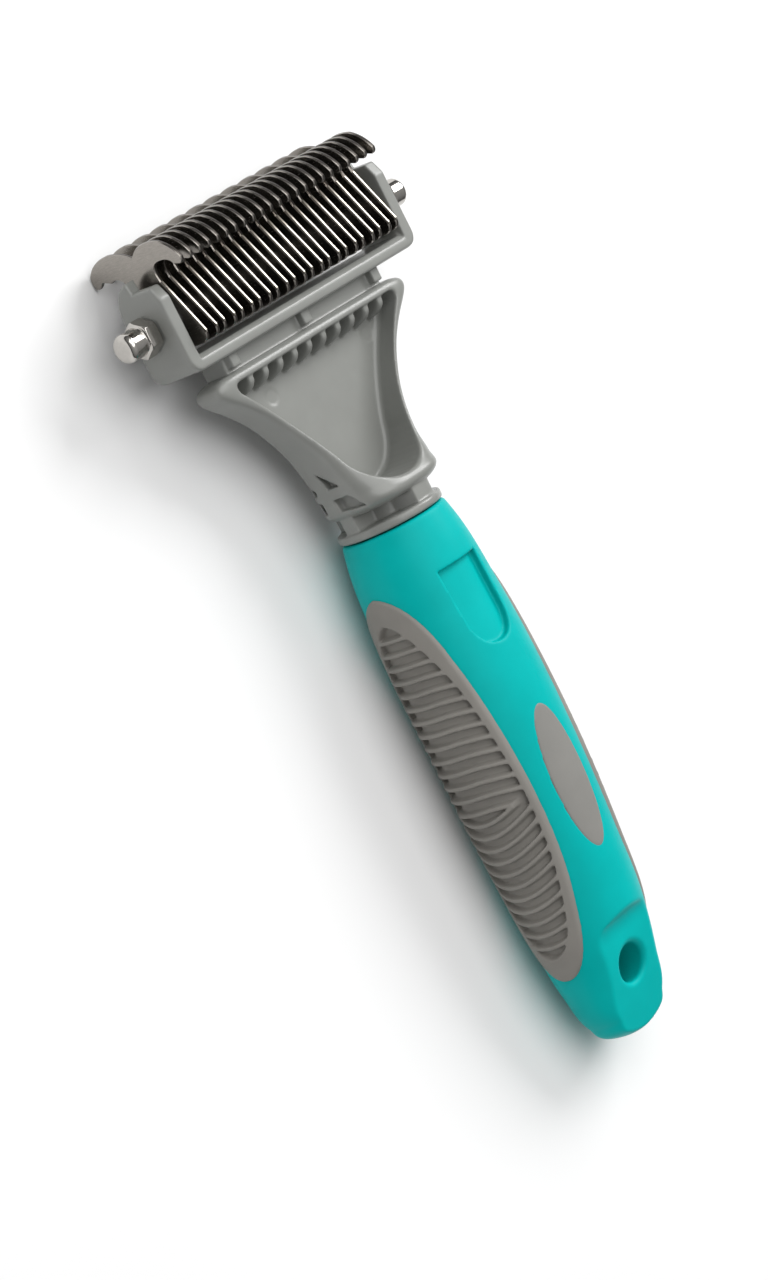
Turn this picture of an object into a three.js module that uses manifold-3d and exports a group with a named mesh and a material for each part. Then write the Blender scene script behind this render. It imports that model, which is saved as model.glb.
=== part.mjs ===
// Dematting comb: a handle with rubber grips, a fan-shaped head and a cradle that carries a pack
// of hooked steel blades on an M4 bolt with a cap nut at each end.
//
// Every shape is drawn in the comb's own millimetres: x along the bolt, y along the handle
// towards the blades with y = 0 at the top of the handle, and z out of the comb's front.
// The whole comb is then shifted so that it lies on its back on the plane z = 0.

import * as THREE from 'three';
import { mergeVertices } from 'three/addons/utils/BufferGeometryUtils.js';
import Module from 'manifold-3d';

// ---- driving dimensions (mm) ----

const BLADE_COUNT = 23;
const BLADE_PITCH = 2.75;
const BLADE_THICKNESS = 0.9;
const BLADE_TOP = 17.0;
const BLADE_BOTTOM = -5.9;
const HOOK_REACH_FRONT = 12.6;
const HOOK_REACH_BACK = 13.6;

const BOLT_Y = 56.7;
const BOLT_RADIUS = 2.0;
const BOLT_HOLE_RADIUS = 2.2;
const SPACER_RADIUS = 4.0;
const SPACER_END_GAP = 0.1;

const CRADLE_HALF_WIDTH = 35.5;
const EAR_THICKNESS = 3.0;
const CRADLE_FRONT = 7.0;
const CRADLE_BACK = -5.4;
const BAR_BOTTOM = 46.0;
const BAR_TOP = 49.3;
const BAR_CHAMFER = 1.0;
const CRADLE_CORNER = 3.0;

const NUT_ACROSS_FLATS = 7.0;
const NUT_HEX_LENGTH = 3.4;
const NUT_LENGTH = 7.9;
const NUT_DOME_RADIUS = 3.0;
const NUT_TIP_RADIUS = 2.3;
const NUT_EAR_GAP = 0.3;

const WEB_HALF_WIDTH = 24.5;
const WEB_FRONT = 2.8;
const WEB_BACK = -3.6;
const WEB_RIB_PITCH = 22.6;
const WEB_RIB_WIDTH = 2.4;
const HEAD_TOP = 42.5;
const HEAD_BOTTOM = 5.2;
const RECESS_FLOOR = -1.0;
const RECESS_TOP = 40.5;
const GUSSET_COUNT = 10;
const GUSSET_PITCH = 4.6;
const GUSSET_WIDTH = 1.6;
const GUSSET_FRONT = 4.3;
const GUSSET_FOOT = 36.8;

const COLLAR_RADIUS = 11.4;
const COLLAR_TOP = 2.1;
const NECK_RADIUS = 5.4;
const NECK_BRIDGE_REACH = 10.3;
const NECK_POCKET_DEPTH = 1.7;
const NECK_POCKET_INNER_X = 5.0;
const TANG_WIDTH = 11.0;
const TANG_DEPTH = 9.0;
const TANG_LENGTH = 42.0;

const HANDLE_END = -116.0;
const HANG_HOLE_Y = -101.8;
const HANG_HOLE_RADIUS = 3.9;
const GRIP_DEPTH = 2.4;
const GRIP_PROUD = 0.5;
const GRIP_INNER_X = 7.4;
const LABEL_CENTRE_Y = -60.3;
const LABEL_HALF_LENGTH = 16.2;
const LABEL_HALF_WIDTH = 5.0;
const LABEL_DEPTH = 1.4;
const THUMB_DEPTH = 1.5;
const FIT_GAP = 0.3;

// ---- handle outline: y, half width, front and back ----

const HANDLE_STATIONS = [
  { y: 0.0, halfWidth: 11.4, front: 11.2, back: -11.2 },
  { y: -5.0, halfWidth: 12.7, front: 12.0, back: -12.0 },
  { y: -20.0, halfWidth: 14.4, front: 12.9, back: -13.0 },
  { y: -45.0, halfWidth: 15.0, front: 13.7, back: -13.6 },
  { y: -61.0, halfWidth: 14.9, front: 13.1, back: -13.6 },
  { y: -77.0, halfWidth: 14.2, front: 11.7, back: -13.5 },
  { y: -91.0, halfWidth: 13.4, front: 10.0, back: -13.1 },
  { y: -103.0, halfWidth: 11.8, front: 6.9, back: -12.2 },
  { y: -111.0, halfWidth: 9.6, front: 4.5, back: -10.8 },
  { y: -114.6, halfWidth: 6.8, front: 2.2, back: -8.8 },
  { y: HANDLE_END, halfWidth: 3.2, front: -0.5, back: -6.2 },
];

// ---- head outline: y, half width, front, back and squareness of the section ----

const HEAD_STATIONS = [
  { y: HEAD_BOTTOM, halfWidth: 10.4, front: 10.6, back: -8.6, square: 2.6 },
  { y: 6.6, halfWidth: 11.6, front: 11.6, back: -8.9, square: 2.9 },
  { y: 9.5, halfWidth: 12.0, front: 10.7, back: -8.6, square: 3.1 },
  { y: 14.5, halfWidth: 12.6, front: 8.5, back: -7.4, square: 3.7 },
  { y: 20.0, halfWidth: 14.0, front: 6.8, back: -6.2, square: 5.0 },
  { y: 26.0, halfWidth: 17.2, front: 5.5, back: -5.2, square: 6.0 },
  { y: 32.5, halfWidth: 22.0, front: 5.0, back: -4.7, square: 7.0 },
  { y: 36.0, halfWidth: 25.8, front: 5.0, back: -4.6, square: 7.0 },
  { y: 38.0, halfWidth: 28.3, front: 5.0, back: -4.5, square: 7.0 },
  { y: 39.4, halfWidth: 29.7, front: 5.0, back: -4.5, square: 7.0 },
  { y: 40.6, halfWidth: 30.0, front: 5.0, back: -4.4, square: 7.0 },
  { y: 41.6, halfWidth: 29.4, front: 4.9, back: -4.3, square: 7.0 },
  { y: 42.2, halfWidth: 28.4, front: 4.7, back: -4.1, square: 7.0 },
  { y: HEAD_TOP, halfWidth: 27.4, front: 4.4, back: -3.9, square: 7.0 },
];

// ---- materials ----

const MATERIALS = {
  bladeSteel: new THREE.MeshStandardMaterial({ color: 0x8f8a85, roughness: 0.35, metalness: 1.0 }),
  chrome: new THREE.MeshStandardMaterial({ color: 0xd9d6d0, roughness: 0.12, metalness: 1.0 }),
  zincSteel: new THREE.MeshStandardMaterial({ color: 0x9a9a98, roughness: 0.4, metalness: 1.0 }),
  greyPlastic: new THREE.MeshStandardMaterial({ color: 0x858985, roughness: 0.45, metalness: 0.0 }),
  tealPlastic: new THREE.MeshStandardMaterial({ color: 0x00b4b0, roughness: 0.4, metalness: 0.0 }),
  greyRubber: new THREE.MeshStandardMaterial({ color: 0x85837f, roughness: 0.75, metalness: 0.0 }),
};

// ---- solids ----

const wasm = await Module();
wasm.setup();

function toSolid(geometry) {
  const bare = geometry.index ? geometry.toNonIndexed() : geometry.clone();
  bare.deleteAttribute('normal');
  bare.deleteAttribute('uv');
  const merged = mergeVertices(bare, 1e-4);
  return new wasm.Manifold(new wasm.Mesh({
    numProp: 3,
    vertProperties: new Float32Array(merged.attributes.position.array),
    triVerts: new Uint32Array(merged.index.array),
  }));
}

function toGeometry(solid) {
  const mesh = solid.getMesh();
  const geometry = new THREE.BufferGeometry();
  geometry.setAttribute('position', new THREE.BufferAttribute(new Float32Array(mesh.vertProperties), 3));
  geometry.setIndex(new THREE.BufferAttribute(new Uint32Array(mesh.triVerts), 1));
  geometry.computeVertexNormals();
  return geometry;
}

function unite(solids) {
  return solids.reduce((sum, solid) => sum.add(solid));
}

function box(xLow, xHigh, yLow, yHigh, zLow, zHigh) {
  const geometry = new THREE.BoxGeometry(xHigh - xLow, yHigh - yLow, zHigh - zLow);
  geometry.translate((xLow + xHigh) / 2, (yLow + yHigh) / 2, (zLow + zHigh) / 2);
  return geometry;
}

// A shape drawn in x and y, extruded along z.
function prismAlongZ(shape, zLow, zHigh, curveSegments = 8) {
  const depth = zHigh - zLow;
  const geometry = new THREE.ExtrudeGeometry(shape, { depth, bevelEnabled: false, curveSegments });
  geometry.translate(0, 0, zLow);
  return geometry;
}

// A shape drawn in y and z, extruded along x.
function prismAlongX(shape, xLow, xHigh, curveSegments = 6) {
  const depth = xHigh - xLow;
  const geometry = new THREE.ExtrudeGeometry(shape, { depth, bevelEnabled: false, curveSegments });
  const axes = new THREE.Matrix4().makeBasis(
    new THREE.Vector3(0, 1, 0),
    new THREE.Vector3(0, 0, 1),
    new THREE.Vector3(1, 0, 0),
  );
  geometry.applyMatrix4(axes);
  geometry.translate(xLow, 0, 0);
  return geometry;
}

// A ring or rod turned about the bolt, from a closed or axis-ended profile of [radius, x].
function turnedAboutBolt(profile, segments) {
  const points = profile.map(([radius, x]) => new THREE.Vector2(radius, x));
  const geometry = new THREE.LatheGeometry(points, segments);
  geometry.rotateZ(-Math.PI / 2);
  geometry.translate(0, BOLT_Y, 0);
  return geometry;
}

function circlePoints(radius, count) {
  const points = [];
  for (let i = 0; i < count; i += 1) {
    const angle = (2 * Math.PI * i) / count;
    points.push(new THREE.Vector2(radius * Math.cos(angle), radius * Math.sin(angle)));
  }
  return points;
}

function signedPower(value, power) {
  return Math.sign(value) * Math.abs(value) ** power;
}

// Stations resampled along a smooth curve, each measure on a curve of its own.
function smoothStations(stations, count) {
  const measures = ['halfWidth', 'front', 'back', 'square'];
  const curves = {};
  for (const name of measures) {
    const points = stations.map((station) => new THREE.Vector2(station.y, station[name] ?? 2.0));
    curves[name] = new THREE.SplineCurve(points);
  }
  const smooth = [];
  for (let i = 0; i <= count; i += 1) {
    const t = i / count;
    const station = { y: curves.front.getPoint(t).x };
    for (const name of measures) {
      station[name] = curves[name].getPoint(t).y;
    }
    smooth.push(station);
  }
  return smooth;
}

// A closed skin through rounded sections, moved in by inset all round.
function loft(stations, ringPoints, inset = 0) {
  const positions = [];
  const index = [];
  stations.forEach((station) => {
    const halfWidth = station.halfWidth - inset;
    const middle = (station.front + station.back) / 2;
    const halfDepth = (station.front - station.back) / 2 - inset;
    for (let i = 0; i < ringPoints; i += 1) {
      const angle = (2 * Math.PI * i) / ringPoints;
      const x = halfWidth * signedPower(Math.cos(angle), 2 / station.square);
      const z = middle + halfDepth * signedPower(Math.sin(angle), 2 / station.square);
      positions.push(x, station.y, z);
    }
  });
  const last = (stations.length - 1) * ringPoints;
  const climbing = stations[stations.length - 1].y > stations[0].y;
  const addTriangle = (a, b, c) => (climbing ? index.push(a, c, b) : index.push(a, b, c));
  for (let row = 0; row < stations.length - 1; row += 1) {
    for (let i = 0; i < ringPoints; i += 1) {
      const here = row * ringPoints + i;
      const next = row * ringPoints + ((i + 1) % ringPoints);
      addTriangle(here, next, next + ringPoints);
      addTriangle(here, next + ringPoints, here + ringPoints);
    }
  }
  for (let i = 1; i < ringPoints - 1; i += 1) {
    addTriangle(0, i + 1, i);
    addTriangle(last, last + i, last + i + 1);
  }
  const geometry = new THREE.BufferGeometry();
  geometry.setAttribute('position', new THREE.BufferAttribute(new Float32Array(positions), 3));
  geometry.setIndex(index);
  return geometry;
}

// ---- blades ----

// The front half of a blade's edge, from the middle of its foot round the lower corner, up the
// straight cutting edge, through the throat and over the hook to the dip on the centre line.
function traceFront(shape, cornerReach) {
  shape.moveTo(BLADE_BOTTOM, 0);
  shape.lineTo(BLADE_BOTTOM, cornerReach - 1.8);
  shape.quadraticCurveTo(BLADE_BOTTOM + 0.2, cornerReach - 0.2, -3.7, cornerReach);
  shape.lineTo(8.2, 4.4);
  shape.quadraticCurveTo(11.9, 3.2, 11.9, 6.6);
  shape.quadraticCurveTo(11.9, 9.2, 10.4, 10.0);
  shape.lineTo(9.9, 11.6);
  shape.quadraticCurveTo(10.0, HOOK_REACH_FRONT, 11.2, HOOK_REACH_FRONT);
  shape.quadraticCurveTo(14.2, 11.2, 15.8, 8.2);
  shape.quadraticCurveTo(17.0, 4.0, 15.6, 1.4);
  shape.lineTo(14.6, 0);
}

// The back half of a coarse-hooked blade, from the dip back down to the foot.
function traceCoarseBack(shape) {
  shape.quadraticCurveTo(16.6, -2.6, BLADE_TOP, -6.4);
  shape.quadraticCurveTo(BLADE_TOP, -11.2, 14.4, -HOOK_REACH_BACK + 0.4);
  shape.quadraticCurveTo(12.6, -HOOK_REACH_BACK - 0.2, 11.7, -13.0);
  shape.quadraticCurveTo(11.0, -12.2, 12.4, -10.6);
  shape.lineTo(11.6, -8.4);
  shape.quadraticCurveTo(12.4, -6.0, 10.4, -4.9);
  shape.lineTo(8.2, -4.4);
  shape.lineTo(-3.7, -9.4);
  shape.quadraticCurveTo(BLADE_BOTTOM + 0.2, -9.2, BLADE_BOTTOM, -7.6);
}

// The back half of a blade that has no coarse hook.
function tracePlainBack(shape) {
  shape.quadraticCurveTo(14.0, -2.6, 11.4, -3.6);
  shape.lineTo(8.2, -4.4);
  shape.lineTo(-3.7, -9.4);
  shape.quadraticCurveTo(BLADE_BOTTOM + 0.2, -9.2, BLADE_BOTTOM, -7.6);
}

function bladeGeometry(hasCoarseHook, xMiddle) {
  const shape = new THREE.Shape();
  traceFront(shape, hasCoarseHook ? 9.4 : 9.8);
  if (hasCoarseHook) {
    traceCoarseBack(shape);
  } else {
    tracePlainBack(shape);
  }
  shape.holes.push(new THREE.Path(circlePoints(BOLT_HOLE_RADIUS, 12)));
  const half = BLADE_THICKNESS / 2;
  const geometry = prismAlongX(shape, xMiddle - half, xMiddle + half, 3);
  geometry.translate(0, BOLT_Y, 0);
  return geometry;
}

// ---- bolt, spacers and cap nuts ----

function spacerGeometry(xLow, xHigh) {
  const profile = [
    [BOLT_HOLE_RADIUS, xLow],
    [SPACER_RADIUS, xLow],
    [SPACER_RADIUS, xHigh],
    [BOLT_HOLE_RADIUS, xHigh],
    [BOLT_HOLE_RADIUS, xLow],
  ];
  return turnedAboutBolt(profile, 12);
}

function boltGeometry() {
  const end = CRADLE_HALF_WIDTH + NUT_EAR_GAP + NUT_LENGTH - 3.0;
  const chamfer = 0.5;
  const profile = [
    [0, -end],
    [BOLT_RADIUS - chamfer, -end],
    [BOLT_RADIUS, -end + chamfer],
    [BOLT_RADIUS, end - chamfer],
    [BOLT_RADIUS - chamfer, end],
    [0, end],
  ];
  return turnedAboutBolt(profile, 12);
}

// A cap nut drawn for the right-hand end, and turned round for the left-hand one.
function capNutGeometry(side) {
  const seat = CRADLE_HALF_WIDTH + NUT_EAR_GAP;
  const hexRadius = NUT_ACROSS_FLATS / Math.sqrt(3);
  const hex = new THREE.CylinderGeometry(hexRadius, hexRadius, NUT_HEX_LENGTH, 6);
  hex.rotateZ(-Math.PI / 2);
  hex.translate(seat + NUT_HEX_LENGTH / 2, BOLT_Y, 0);
  const tip = seat + NUT_LENGTH;
  const chamfer = turnedAboutBolt([
    [0, seat - 1],
    [hexRadius + 0.4, seat - 1],
    [hexRadius + 0.4, seat + NUT_HEX_LENGTH - 0.9],
    [NUT_DOME_RADIUS, seat + NUT_HEX_LENGTH],
    [0, seat + NUT_HEX_LENGTH],
  ], 24);
  const dome = turnedAboutBolt([
    [0, seat + 1],
    [NUT_DOME_RADIUS, seat + 1],
    [NUT_DOME_RADIUS, tip - 1.6],
    [NUT_DOME_RADIUS - 0.25, tip - 0.7],
    [NUT_TIP_RADIUS, tip],
    [0, tip],
  ], 20);
  const bore = turnedAboutBolt([
    [0, seat - 1],
    [BOLT_HOLE_RADIUS, seat - 1],
    [BOLT_HOLE_RADIUS, tip - 2.2],
    [0, tip - 2.2],
  ], 12);
  const nut = toSolid(hex).intersect(toSolid(chamfer)).add(toSolid(dome)).subtract(toSolid(bore));
  const geometry = toGeometry(nut);
  if (side < 0) {
    geometry.rotateY(Math.PI);
  }
  return geometry;
}

// ---- head, cradle and tang, one moulding ----

function earOutline() {
  const ear = new THREE.Shape();
  ear.moveTo(BAR_BOTTOM, CRADLE_BACK + 1.6);
  ear.lineTo(BAR_BOTTOM, CRADLE_FRONT - 0.6);
  ear.lineTo(BAR_BOTTOM + 0.6, CRADLE_FRONT);
  ear.lineTo(62.2, CRADLE_FRONT);
  ear.lineTo(65.0, 5.6);
  ear.lineTo(65.2, 0.3);
  ear.lineTo(67.6, -0.2);
  ear.quadraticCurveTo(67.0, -3.6, 63.6, -4.8);
  ear.quadraticCurveTo(60.5, CRADLE_BACK - 0.2, 56.0, CRADLE_BACK);
  ear.lineTo(BAR_BOTTOM + 2.2, CRADLE_BACK);
  ear.quadraticCurveTo(BAR_BOTTOM, CRADLE_BACK, BAR_BOTTOM, CRADLE_BACK + 1.6);
  return ear;
}

// The cradle seen from the front, with its lower corners rounded and its top left open.
function cradleOutline() {
  const cradle = new THREE.Shape();
  const bottom = BAR_BOTTOM - 0.1;
  cradle.moveTo(-CRADLE_HALF_WIDTH, 90);
  cradle.lineTo(-CRADLE_HALF_WIDTH, bottom + CRADLE_CORNER);
  cradle.quadraticCurveTo(-CRADLE_HALF_WIDTH, bottom, CRADLE_CORNER - CRADLE_HALF_WIDTH, bottom);
  cradle.lineTo(CRADLE_HALF_WIDTH - CRADLE_CORNER, bottom);
  cradle.quadraticCurveTo(CRADLE_HALF_WIDTH, bottom, CRADLE_HALF_WIDTH, bottom + CRADLE_CORNER);
  cradle.lineTo(CRADLE_HALF_WIDTH, 90);
  return cradle;
}

// The bevel along the bar's front top edge, between the ears.
function barBevelOutline() {
  const bevel = new THREE.Shape();
  const reach = 1.0;
  bevel.moveTo(BAR_TOP + reach, CRADLE_FRONT - BAR_CHAMFER - reach);
  bevel.lineTo(BAR_TOP + reach, CRADLE_FRONT + reach);
  bevel.lineTo(BAR_TOP - BAR_CHAMFER - reach, CRADLE_FRONT + reach);
  return bevel;
}

// The dished recess in the head's front: a triangle with curved sides and a round lower end.
function recessOutline() {
  const recess = new THREE.Shape();
  recess.moveTo(-23.6, RECESS_TOP);
  recess.lineTo(23.6, RECESS_TOP);
  recess.quadraticCurveTo(25.9, RECESS_TOP, 24.9, 38.4);
  recess.quadraticCurveTo(15.4, 28.0, 11.2, 18.0);
  recess.quadraticCurveTo(8.4, 8.6, 0, 8.6);
  recess.quadraticCurveTo(-8.4, 8.6, -11.2, 18.0);
  recess.quadraticCurveTo(-15.4, 28.0, -24.9, 38.4);
  recess.quadraticCurveTo(-25.9, RECESS_TOP, -23.6, RECESS_TOP);
  return recess;
}

function gussetOutline() {
  const gusset = new THREE.Shape();
  gusset.moveTo(RECESS_TOP + 0.5, RECESS_FLOOR - 0.5);
  gusset.lineTo(RECESS_TOP + 0.5, GUSSET_FRONT);
  gusset.lineTo(39.6, GUSSET_FRONT);
  gusset.quadraticCurveTo(GUSSET_FOOT + 0.5, GUSSET_FRONT - 0.4, GUSSET_FOOT, RECESS_FLOOR - 0.5);
  return gusset;
}

// Pockets between crossed ribs on each side of the neck, seen along x.
const NECK_POCKETS = [
  [[10.0, 4.3], [6.9, 7.0], [7.4, 0.5], [10.1, 0.0]],
  [[16.4, -0.6], [12.5, 3.4], [12.5, 0.3]],
  [[10.3, -6.2], [9.9, -3.8], [7.6, -3.8], [7.4, -7.4]],
  [[14.2, -5.6], [12.8, -3.4], [11.8, -4.0], [12.0, -6.4]],
];

// Bridges between the collar and the head, round the neck's core: the angle about the handle's
// axis, from +X towards the front, and the half width.
const NECK_BRIDGES = [
  { angle: 80, halfWidth: 3.2 },
  { angle: 184, halfWidth: 2.0 },
  { angle: -4, halfWidth: 2.0 },
  { angle: -100, halfWidth: 3.2 },
];

function headSkin(inset) {
  return toSolid(loft(smoothStations(HEAD_STATIONS, 20), 32, inset));
}

function neckPocket(corners) {
  const shape = new THREE.Shape(corners.map(([y, z]) => new THREE.Vector2(y, z)));
  return toSolid(prismAlongX(shape, -20, -NECK_POCKET_INNER_X))
    .add(toSolid(prismAlongX(shape, NECK_POCKET_INNER_X, 20)));
}

function neckBridge({ angle, halfWidth }) {
  const low = COLLAR_TOP - 0.5;
  const bridge = box(0, NECK_BRIDGE_REACH, low, HEAD_BOTTOM + 1.0, -halfWidth, halfWidth);
  bridge.rotateY(THREE.MathUtils.degToRad(-angle));
  return toSolid(bridge);
}

function turnedAboutHandle(radius, yLow, yHigh) {
  const geometry = new THREE.CylinderGeometry(radius, radius, yHigh - yLow, 32);
  geometry.translate(0, (yLow + yHigh) / 2, 0);
  return geometry;
}

function headFrameGeometry() {
  const inside = CRADLE_HALF_WIDTH - EAR_THICKNESS;
  const cradle = toSolid(prismAlongX(earOutline(), -40, 40))
    .intersect(toSolid(prismAlongZ(cradleOutline(), -20, 20)))
    .subtract(toSolid(box(-inside, inside, BAR_TOP, 80, -20, 20)))
    .subtract(toSolid(prismAlongX(barBevelOutline(), -inside, inside)));
  const pieces = [
    cradle,
    toSolid(box(-WEB_HALF_WIDTH, WEB_HALF_WIDTH, HEAD_TOP - 1.0, BAR_BOTTOM + 0.5, WEB_BACK, WEB_FRONT)),
    headSkin(0),
    toSolid(turnedAboutHandle(NECK_RADIUS, COLLAR_TOP - 0.5, HEAD_BOTTOM + 1.0)),
    toSolid(turnedAboutHandle(COLLAR_RADIUS, FIT_GAP, COLLAR_TOP)),
    toSolid(box(-TANG_WIDTH / 2, TANG_WIDTH / 2, -TANG_LENGTH, 1.0, -TANG_DEPTH / 2, TANG_DEPTH / 2)),
    ...NECK_BRIDGES.map(neckBridge),
  ];
  for (const place of [-1, 0, 1]) {
    const middle = place * WEB_RIB_PITCH;
    const half = WEB_RIB_WIDTH / 2;
    pieces.push(toSolid(box(middle - half, middle + half, 43.3, BAR_BOTTOM + 0.5, 0, 4.7)));
  }
  let frame = unite(pieces);
  frame = frame.subtract(toSolid(prismAlongZ(recessOutline(), RECESS_FLOOR, 20)));
  for (let i = 0; i < GUSSET_COUNT; i += 1) {
    const middle = (i - (GUSSET_COUNT - 1) / 2) * GUSSET_PITCH;
    const half = GUSSET_WIDTH / 2;
    frame = frame.add(toSolid(prismAlongX(gussetOutline(), middle - half, middle + half, 4)));
  }
  const neckHeart = headSkin(NECK_POCKET_DEPTH);
  for (const corners of NECK_POCKETS) {
    frame = frame.subtract(neckPocket(corners).subtract(neckHeart));
  }
  const boltHole = turnedAboutBolt([
    [0, -60],
    [BOLT_HOLE_RADIUS, -60],
    [BOLT_HOLE_RADIUS, 60],
    [0, 60],
  ], 16);
  return toGeometry(frame.subtract(toSolid(boltHole)));
}

// ---- handle, grips and label ----

const HANDLE_SECTIONS = smoothStations(HANDLE_STATIONS, 20);
const HANDLE_RING = 36;

function handleSkin(inset) {
  return toSolid(loft(HANDLE_SECTIONS, HANDLE_RING, inset));
}

// The leaf outline of a side grip, seen along x, grown by a margin all round.
function gripOutline(margin) {
  const top = -11.2 + margin;
  const bottom = -98.4 - margin;
  const front = 10.8 + margin;
  const back = -12.0 - margin;
  const grip = new THREE.Shape();
  grip.moveTo(top, -1.0);
  grip.quadraticCurveTo(top - 1.5, 6.8 + margin, -28.0, 8.9 + margin);
  grip.quadraticCurveTo(-39.0, front, -53.0, front);
  grip.quadraticCurveTo(-72.0, front, -88.5, 6.5 + margin);
  grip.quadraticCurveTo(bottom, 3.4 + margin, bottom, -1.2);
  grip.quadraticCurveTo(bottom, -6.2 - margin, -88.5, -8.6 - margin);
  grip.quadraticCurveTo(-72.0, back, -53.0, back);
  grip.quadraticCurveTo(-39.0, back, -28.0, -10.4 - margin);
  grip.quadraticCurveTo(top - 1.5, -8.6 - margin, top, -1.0);
  return grip;
}

function labelOutline(margin) {
  const label = new THREE.Shape();
  label.absellipse(0, LABEL_CENTRE_Y, LABEL_HALF_WIDTH + margin, LABEL_HALF_LENGTH + margin, 0, 2 * Math.PI);
  return label;
}

// The thumb recess: straight across the top, with a round lower end.
function thumbOutline() {
  const thumb = new THREE.Shape();
  thumb.moveTo(-6.5, -11.2);
  thumb.lineTo(6.5, -11.2);
  thumb.lineTo(5.8, -24.0);
  thumb.quadraticCurveTo(4.8, -29.4, 0, -29.4);
  thumb.quadraticCurveTo(-4.8, -29.4, -5.8, -24.0);
  return thumb;
}

// The scoop that thins the front of the handle's end, seen along x.
function scoopOutline() {
  const scoop = new THREE.Shape();
  scoop.moveTo(-88.6, 12.2);
  scoop.lineTo(-91.6, 9.0);
  scoop.lineTo(-95.0, 6.9);
  scoop.lineTo(-101.5, 5.0);
  scoop.lineTo(-125.0, -3.2);
  scoop.lineTo(-125.0, 25.0);
  scoop.lineTo(-88.6, 25.0);
  return scoop;
}

function gripPocket(side) {
  const inner = GRIP_INNER_X - FIT_GAP;
  const [low, high] = side < 0 ? [-30, -inner] : [inner, 30];
  const prism = toSolid(prismAlongX(gripOutline(FIT_GAP), low, high, 6));
  return prism.subtract(handleSkin(GRIP_DEPTH + FIT_GAP));
}

function gripGeometry(side) {
  const [low, high] = side < 0 ? [-30, -GRIP_INNER_X] : [GRIP_INNER_X, 30];
  const prism = toSolid(prismAlongX(gripOutline(0), low, high, 6));
  return toGeometry(handleSkin(-GRIP_PROUD).intersect(prism).subtract(handleSkin(GRIP_DEPTH)));
}

function labelGeometry() {
  const prism = toSolid(prismAlongZ(labelOutline(0), 2, 30, 16));
  return toGeometry(handleSkin(0).intersect(prism).subtract(handleSkin(LABEL_DEPTH)));
}

function handleGeometry() {
  const labelPocket = toSolid(prismAlongZ(labelOutline(FIT_GAP), 2, 30, 16));
  const thumbPocket = toSolid(prismAlongZ(thumbOutline(), 2, 30, 8));
  const hole = new THREE.CylinderGeometry(HANG_HOLE_RADIUS, HANG_HOLE_RADIUS, 60, 28);
  hole.rotateX(Math.PI / 2);
  hole.translate(0, HANG_HOLE_Y, 0);
  const width = TANG_WIDTH / 2 + FIT_GAP;
  const depth = TANG_DEPTH / 2 + FIT_GAP;
  const socket = toSolid(box(-width, width, -TANG_LENGTH - 1.0, 5, -depth, depth));
  const scoop = toSolid(prismAlongX(scoopOutline(), -30, 30));
  const handle = handleSkin(0)
    .subtract(scoop)
    .subtract(gripPocket(-1))
    .subtract(gripPocket(1))
    .subtract(labelPocket.subtract(handleSkin(LABEL_DEPTH + FIT_GAP)))
    .subtract(thumbPocket.subtract(handleSkin(THUMB_DEPTH)))
    .subtract(toSolid(hole))
    .subtract(socket);
  return toGeometry(handle);
}

// ---- assembly ----

const comb = new THREE.Group();

function addPiece(name, geometry, material) {
  const mesh = new THREE.Mesh(geometry, material);
  mesh.name = name;
  comb.add(mesh);
}

addPiece('head_frame', headFrameGeometry(), MATERIALS.greyPlastic);
addPiece('handle_shell', handleGeometry(), MATERIALS.tealPlastic);
addPiece('grip_left', gripGeometry(-1), MATERIALS.greyRubber);
addPiece('grip_right', gripGeometry(1), MATERIALS.greyRubber);
addPiece('label_inlay', labelGeometry(), MATERIALS.greyRubber);
addPiece('blade_bolt', boltGeometry(), MATERIALS.zincSteel);
addPiece('cap_nut_left', capNutGeometry(-1), MATERIALS.chrome);
addPiece('cap_nut_right', capNutGeometry(1), MATERIALS.chrome);

const bladeHalf = BLADE_THICKNESS / 2;
for (let i = 0; i < BLADE_COUNT; i += 1) {
  const xMiddle = (i - (BLADE_COUNT - 1) / 2) * BLADE_PITCH;
  const number = String(i + 1).padStart(2, '0');
  const isCoarse = i % 2 === 0;
  const kind = isCoarse ? 'coarse' : 'fine';
  addPiece(`${kind}_blade_${number}`, bladeGeometry(isCoarse, xMiddle), MATERIALS.bladeSteel);
  if (i < BLADE_COUNT - 1) {
    const low = xMiddle + bladeHalf + SPACER_END_GAP;
    const high = xMiddle + BLADE_PITCH - bladeHalf - SPACER_END_GAP;
    addPiece(`spacer_${number}`, spacerGeometry(low, high), MATERIALS.zincSteel);
  }
}

const packHalf = ((BLADE_COUNT - 1) / 2) * BLADE_PITCH + bladeHalf + SPACER_END_GAP;
const earInside = CRADLE_HALF_WIDTH - EAR_THICKNESS - FIT_GAP;
addPiece('end_spacer_left', spacerGeometry(-earInside, -packHalf), MATERIALS.zincSteel);
addPiece('end_spacer_right', spacerGeometry(packHalf, earInside), MATERIALS.zincSteel);

// The comb lies on its back, centred over the middle of its outline.
const size = new THREE.Box3().setFromObject(comb);
comb.position.set(
  -(size.min.x + size.max.x) / 2,
  -(size.min.y + size.max.y) / 2,
  -size.min.z,
);

export default comb;
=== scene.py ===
import math

import bmesh
import bpy
import numpy as np
import openvdb
from mathutils import Matrix, Vector
from mathutils.geometry import tessellate_polygon


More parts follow.
